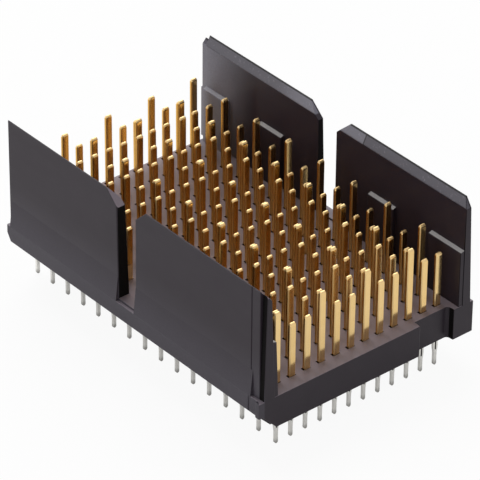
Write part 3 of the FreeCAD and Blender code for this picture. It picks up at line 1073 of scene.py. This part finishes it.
@dataclass
class ContactField:
    """The contact pins: columns of signal pins with taller ground pins among them."""

    columns: int = 16
    rows: int = 12
    rows_per_ground: int = 3
    turn: float = math.radians(1.6)
    lean: float = math.radians(0.22)
    seed: int = 11
    equal_within: float = 0.1

    def nodes(self, kind: PinKind) -> List[str]:
        """Return the CAD nodes of one kind of pin."""
        return [f"{kind.value}_{column:02d}" for column in range(1, self.columns + 1)]

    def pitches(self) -> Span:
        """Return the column pitch and the row pitch, measured on the CAD nodes."""
        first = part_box(self.nodes(PinKind.SIGNAL)[0])
        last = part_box(self.nodes(PinKind.SIGNAL)[-1])
        column_pitch = (last[0][0] - first[0][0]) / (self.columns - 1)
        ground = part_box(self.nodes(PinKind.GROUND)[0])
        span = max(first[1][1], ground[1][1]) - min(first[0][1], ground[0][1])
        return column_pitch, (span - PinShape.blade_width) / (self.rows - 1)

    def inputs(self) -> Dict[str, str]:
        """Return the node tree's named inputs and their socket types."""
        return {
            "Pin": "NodeSocketObject",
            "Finish": "NodeSocketMaterial",
            "Columns": "NodeSocketInt",
            "Rows": "NodeSocketInt",
            "Column Pitch": "NodeSocketFloat",
            "Row Pitch": "NodeSocketFloat",
            "Rows per Ground": "NodeSocketInt",
            "Tall": "NodeSocketFloat",
            "Turn": "NodeSocketFloat",
            "Lean": "NodeSocketFloat",
            "Seed": "NodeSocketInt",
        }

    def tree(self) -> Tuple[bpy.types.NodeTree, Dict[str, str]]:
        """Build the tree that sets the pins out.

        Returns:
            The tree, and the identifier of each of its named inputs.
        """
        tree = bpy.data.node_groups.new("pin_field", "GeometryNodeTree")
        graph = Graph(tree)
        tree.interface.new_socket("Geometry", in_out="OUTPUT", socket_type="NodeSocketGeometry")
        keys = {}
        for name, kind in self.inputs().items():
            socket = tree.interface.new_socket(name, in_out="INPUT", socket_type=kind)
            keys[name] = socket.identifier
        given = graph.node("NodeGroupInput")
        pitch_x = given.output("Column Pitch")
        pitch_y = given.output("Row Pitch")
        size_x = (given.output("Columns") - 1) * pitch_x
        size_y = (given.output("Rows") - 1) * pitch_y
        grid = graph.node(
            "GeometryNodeMeshGrid",
            inputs={
                "Size X": size_x,
                "Size Y": size_y,
                "Vertices X": given.output("Columns"),
                "Vertices Y": given.output("Rows"),
            },
        )
        position = graph.node("GeometryNodeInputPosition")
        place = graph.node("ShaderNodeSeparateXYZ", inputs={0: position})
        column = graph.maths("ROUND", (place + size_x / 2) / pitch_x)
        row = graph.maths("ROUND", (place.output("Y") + size_y / 2) / pitch_y)
        every = given.output("Rows per Ground")
        first_tall = (every - 1) * (1 - column % 2)
        tall = graph.maths("COMPARE", row % every, first_tall, self.equal_within)
        chosen = graph.maths("COMPARE", tall, given.output("Tall"), self.equal_within)
        pins = self.stand_pins(graph, given, grid, chosen)
        real = graph.node("GeometryNodeRealizeInstances", inputs={"Geometry": pins})
        dressed = graph.node(
            "GeometryNodeSetMaterial",
            inputs={"Geometry": real, "Material": given.output("Finish")},
        )
        graph.node("NodeGroupOutput", inputs={"Geometry": dressed})
        return tree, keys

    @staticmethod
    def stand_pins(graph: Graph, given: Wire, grid: Wire, chosen: Wire) -> Wire:
        """Stand a pin at each chosen point, a little turned, and give it a tone of its own.

        Args:
            graph: The tree's graph.
            given: The tree's input node.
            grid: The points, one for each place in the field.
            chosen: 1 at the points that get a pin.

        Returns:
            The pins, as instances.
        """
        source = {"Object": given.output("Pin")}
        pin = graph.node("GeometryNodeObjectInfo", inputs=source, output="Geometry")
        lean = given.output("Lean")
        turn = given.output("Turn")
        seed = given.output("Seed")
        low = graph.node("ShaderNodeCombineXYZ", inputs={0: 0 - lean, 1: 0 - lean, 2: 0 - turn})
        high = graph.node("ShaderNodeCombineXYZ", inputs={0: lean, 1: lean, 2: turn})
        pose = graph.node(
            "FunctionNodeRandomValue",
            {"data_type": "FLOAT_VECTOR"},
            {0: low, 1: high, "Seed": seed},
        )
        pins = graph.node(
            "GeometryNodeInstanceOnPoints",
            inputs={"Points": grid, "Selection": chosen, "Instance": pin, "Rotation": pose},
        )
        tone = graph.node("FunctionNodeRandomValue", {"data_type": "FLOAT"}, {"Seed": seed + 1}, 1)
        return graph.node(
            "GeometryNodeStoreNamedAttribute",
            {"data_type": "FLOAT", "domain": "INSTANCE"},
            {"Geometry": pins, "Name": PinMark.TONE.value, "Value": tone},
        )

    def build_kind(
        self,
        kind: PinKind,
        tree: bpy.types.NodeTree,
        keys: Dict[str, str],
        finish: bpy.types.Material,
    ) -> bpy.types.Object:
        """Set out, dress and register all the pins of one kind.

        Args:
            kind: Signal or ground.
            tree: The node tree that sets pins out.
            keys: The identifiers of the tree's inputs.
            finish: The pins' material.

        Returns:
            The object with all the pins of this kind.
        """
        low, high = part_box(self.nodes(kind)[0])
        master = PinShape(tip_z=high[2], tail_z=low[2]).master(f"master_{kind.value}")
        column_pitch, row_pitch = self.pitches()
        carrier = bpy.data.objects.new("pin_carrier", bpy.data.meshes.new("pin_carrier"))
        bpy.context.scene.collection.objects.link(carrier)
        modifier = carrier.modifiers.new("pin_field", "NODES")
        modifier.node_group = tree
        values = {
            "Pin": master,
            "Finish": finish,
            "Columns": self.columns,
            "Rows": self.rows,
            "Column Pitch": column_pitch,
            "Row Pitch": row_pitch,
            "Rows per Ground": self.rows_per_ground,
            "Tall": 1.0 if kind is PinKind.GROUND else 0.0,
            "Turn": self.turn,
            "Lean": self.lean,
            "Seed": self.seed,
        }
        for name, value in values.items():
            modifier[keys[name]] = value
        depsgraph = bpy.context.evaluated_depsgraph_get()
        mesh = bpy.data.meshes.new_from_object(
            carrier.evaluated_get(depsgraph), preserve_all_data_layers=True, depsgraph=depsgraph
        )
        mesh.name = f"{kind.name.lower()}_contacts"
        bpy.data.objects.remove(carrier)
        bpy.data.objects.remove(master)
        piece = add_piece(f"{kind.name.lower()}_contacts", mesh, [finish])
        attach(piece, "root")
        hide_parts(*self.nodes(kind))
        return piece

    def build(self) -> List[bpy.types.Object]:
        """Build the signal pins and the ground pins."""
        finish = ContactPlating().material()
        tree, keys = self.tree()
        return [self.build_kind(kind, tree, keys, finish) for kind in PinKind]


@dataclass(frozen=True)
class SoftBox:
    """A square area lamp that faces the part."""

    name: str
    direction: Triple
    distance: float
    size: float
    radiance: float

    def build(self) -> None:
        """Add the lamp to the scene."""
        lamp = bpy.data.lights.new(self.name, "AREA")
        lamp.shape = "SQUARE"
        lamp.size = self.size
        lamp.energy = self.radiance * math.pi * self.size ** 2
        stand = bpy.data.objects.new(self.name, lamp)
        away = Vector(self.direction).normalized()
        turn = away.to_track_quat("Z", "Y").to_matrix().to_4x4()
        stand.matrix_world = Matrix.Translation(away * self.distance) @ turn
        bpy.context.scene.collection.objects.link(stand)


@dataclass(frozen=True)
class Viewpoint:
    """The camera's place, found by fitting the CAD edges to the photograph's frame."""

    azimuth: float = math.radians(49.831)
    elevation: float = math.radians(33.768)
    roll: float = math.radians(0.515)
    distance: float = 305.46 * MM
    slide_right: float = 0.554 * MM
    slide_up: float = 5.921 * MM
    target_z: float = -2.67 * MM
    focal_pixels: float = 3996.9
    frame_pixels: float = 480.0
    sensor: float = 36.0
    nearest: float = 10.0 * MM

    def build(self) -> None:
        """Add the camera and make it the scene's camera."""
        sin_a, cos_a = math.sin(self.azimuth), math.cos(self.azimuth)
        sin_e, cos_e = math.sin(self.elevation), math.cos(self.elevation)
        back = Vector((sin_a * cos_e, -cos_a * cos_e, sin_e))
        level = Vector((cos_a, sin_a, 0.0))
        upright = back.cross(level)
        sin_r, cos_r = math.sin(self.roll), math.cos(self.roll)
        right = cos_r * level + sin_r * upright
        up = cos_r * upright - sin_r * level
        place = back * self.distance + right * self.slide_right + up * self.slide_up
        place.z += self.target_z
        lens = bpy.data.cameras.new("camera")
        lens.sensor_width = self.sensor
        lens.lens = self.focal_pixels * self.sensor / self.frame_pixels
        lens.clip_start = self.nearest
        camera = bpy.data.objects.new("camera", lens)
        turn = Matrix((right, up, back)).transposed().to_4x4()
        camera.matrix_world = Matrix.Translation(place) @ turn
        bpy.context.scene.collection.objects.link(camera)
        bpy.context.scene.camera = camera


@dataclass
class Studio:
    """White sweep, soft lamps, even fill and the camera."""

    floor_z: float
    floor_size: float = 3.0
    fill: float = 0.44
    boxes: Tuple[SoftBox, ...] = (
        SoftBox("key_box", (-0.55, 0.20, 0.81), 0.70, 0.56, 3.8),
        SoftBox("front_box", (-0.64, -0.76, 0.12), 0.75, 0.36, 2.9),
    )

    def floor(self) -> bpy.types.Object:
        """Add the floor at the tail ends and return it."""
        half = self.floor_size / 2
        shape = bmesh.new()
        corners = ((-half, -half), (half, -half), (half, half), (-half, half))
        shape.faces.new([shape.verts.new((x, y, self.floor_z)) for x, y in corners])
        mesh = bpy.data.meshes.new("studio_floor")
        shape.to_mesh(mesh)
        shape.free()
        return add_piece("studio_floor", mesh, [WhiteSweep().material()])

    def world(self) -> None:
        """Fill the surroundings with a soft even light that is white where it is seen."""
        world = bpy.data.worlds.new("studio_world")
        world.use_nodes = True
        bpy.context.scene.world = world
        graph = Graph(world.node_tree)
        strength = self.fill + (1.0 - self.fill) * seen_directly(graph)
        sky = graph.node("ShaderNodeBackground", inputs={"Color": (1, 1, 1, 1), "Strength": strength})
        graph.node("ShaderNodeOutputWorld", inputs={"Surface": sky})

    def build(self) -> None:
        """Add everything around the part."""
        self.floor()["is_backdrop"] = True
        self.world()
        for lamp in self.boxes:
            lamp.build()
        Viewpoint().build()
        bpy.context.scene.view_settings.view_transform = "Standard"


def main() -> None:
    """Build the part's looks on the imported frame, piece by piece."""
    logging.basicConfig(level=logging.INFO, format="%(name)s: %(message)s")
    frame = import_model()
    cad_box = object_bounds()
    housing = Housing().build(frame)
    LOG.info("%s: %d faces", housing.name, len(housing.data.polygons))
    for piece in ContactField().build():
        LOG.info("%s: %d faces", piece.name, len(piece.data.polygons))
    Studio(floor_z=cad_box[0][2]).build()
    LOG.info("studio: floor, lamps and camera")


if __name__ == "__main__":
    main()
